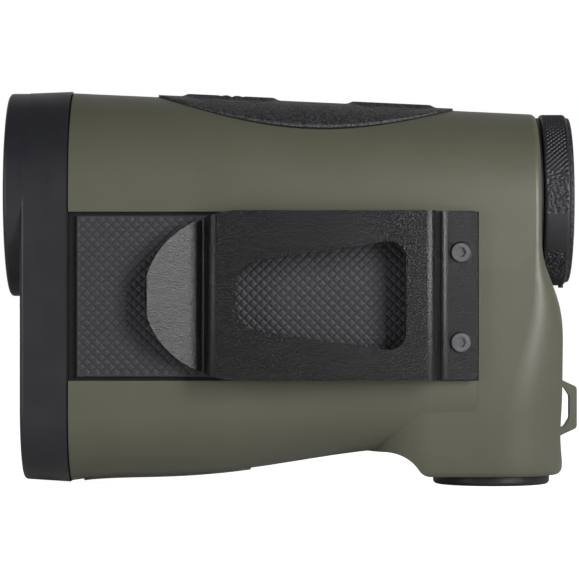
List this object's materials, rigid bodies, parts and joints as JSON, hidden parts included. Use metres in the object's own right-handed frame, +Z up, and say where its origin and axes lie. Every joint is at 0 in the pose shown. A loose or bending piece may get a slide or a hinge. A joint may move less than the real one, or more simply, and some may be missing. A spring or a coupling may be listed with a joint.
{
  "type": "laser rangefinder",
  "caption": "Hand-held laser rangefinder: olive moulded monocular body with two-lens front bezel, focusing eyepiece, push buttons, belt clip and battery cap.",
  "frame": {"origin": "centre of the battery cap's outer face, the point the instrument stands on, in its mid-plane", "axes": "+Z up along the battery axis, +X along the optical axis from objective to eyepiece, -Y towards the belt clip"},
  "size_m": [0.1129, 0.0467, 0.0782],
  "materials": {
    "housing_shell": "fine matte olive moulding",
    "bezel_plastic": "smooth satin black",
    "pad_rubber": "diamond crosshatched rubber",
    "grip_rubber": "fine grained rubber",
    "seal_rubber": "matte",
    "clip_steel": "black crinkle powder coat",
    "screw_steel": "plain steel",
    "insert_brass": "plain",
    "cell_aluminium": "black anodised",
    "lens_glass": "coated optical glass",
    "prism_glass": "optical glass",
    "board": "circuit board laminate",
    "inner_plastic": "moulded black",
    "contact_steel": "nickel plated",
    "cap_plastic": "satin black",
    "battery_wrap": "plain wrapped cell",
    "display": "liquid crystal panel"
  },
  "bodies": {
    "housing": {"main_housing": "housing_shell", "front_bezel": "bezel_plastic", "bezel_gasket": "seal_rubber", "objective_cell": "cell_aluminium", "objective_retaining_ring": "cell_aluminium", "objective_front_lens": "lens_glass", "objective_rear_lens": "lens_glass", "objective_spacer": "cell_aluminium", "emitter_cell": "cell_aluminium", "emitter_retaining_ring": "cell_aluminium", "emitter_lens": "lens_glass", "laser_mount": "cell_aluminium", "laser_module": "contact_steel", "roof_prism": "prism_glass", "prism_bracket": "inner_plastic", "receiver_module": "contact_steel", "display_panel": "display", "field_tube": "cell_aluminium", "field_lens": "lens_glass", "main_board": "board", "board_screws": "screw_steel", "button_board": "board", "button_switches": "inner_plastic", "side_pad_left": "pad_rubber", "side_pad_right": "pad_rubber", "top_grip": "grip_rubber", "belly_pad": "housing_shell", "clip_plate": "clip_steel", "clip_screws": "screw_steel", "clip_inserts": "insert_brass", "eyepiece_barrel": "cell_aluminium", "lanyard_loop": "housing_shell", "battery_well": "inner_plastic", "top_contact": "contact_steel", "battery": "battery_wrap"},
    "measure_key": {"measure_button": "grip_rubber"},
    "menu_key": {"menu_button": "grip_rubber"},
    "eyepiece_ring": {"diopter_ring": "bezel_plastic", "eyecup": "grip_rubber"},
    "eyepiece_optics": {"eye_lens_cell": "cell_aluminium", "eye_lens_front": "lens_glass", "eye_lens_rear": "lens_glass", "eye_lens_spacer": "cell_aluminium"},
    "cap_carrier": {"contact_plate": "contact_steel", "battery_spring": "contact_steel"},
    "cap": {"battery_cap": "cap_plastic", "cap_seal": "seal_rubber"},
    "clip_spring": {"clip_leaf": "clip_steel"}
  },
  "joints": [
    {"name": "measure_press", "type": "slide", "parent": "housing", "child": "measure_key", "axis": [0, 0, -1], "range_m": [0, 0.0006], "stiffness_N_per_m": 1500},
    {"name": "menu_press", "type": "slide", "parent": "housing", "child": "menu_key", "axis": [0, 0, -1], "range_m": [0, 0.0006], "stiffness_N_per_m": 1500},
    {"name": "diopter_turn", "type": "hinge", "parent": "housing", "child": "eyepiece_ring", "pos_m": [0.012, 0, 0.05655], "axis": [1, 0, 0], "range_deg": [-123, 123]},
    {"name": "diopter_focus", "type": "slide", "parent": "housing", "child": "eyepiece_optics", "axis": [1, 0, 0], "range_m": [-0.00075, 0.00075]},
    {"name": "cap_lift", "type": "slide", "parent": "housing", "child": "cap_carrier", "axis": [0, 0, -1], "range_m": [0, 0.0015], "deforming": ["battery_spring"]},
    {"name": "cap_turn", "type": "hinge", "parent": "cap_carrier", "child": "cap", "pos_m": [0, 0, 0], "axis": [0, 0, -1], "range_deg": [0, 541]},
    {"name": "clip_flex", "type": "hinge", "parent": "housing", "child": "clip_spring", "pos_m": [-0.01145, -0.02326, 0.03755], "axis": [0, 0, 1], "range_deg": [0, 6], "stiffness_Nm_per_rad": 1.5}
  ],
  "couplings": [
    {"joint": "diopter_turn", "follows": "diopter_focus", "rad_per_m": 2850},
    {"joint": "cap_turn", "follows": "cap_lift", "rad_per_m": 6283.2}
  ]
}
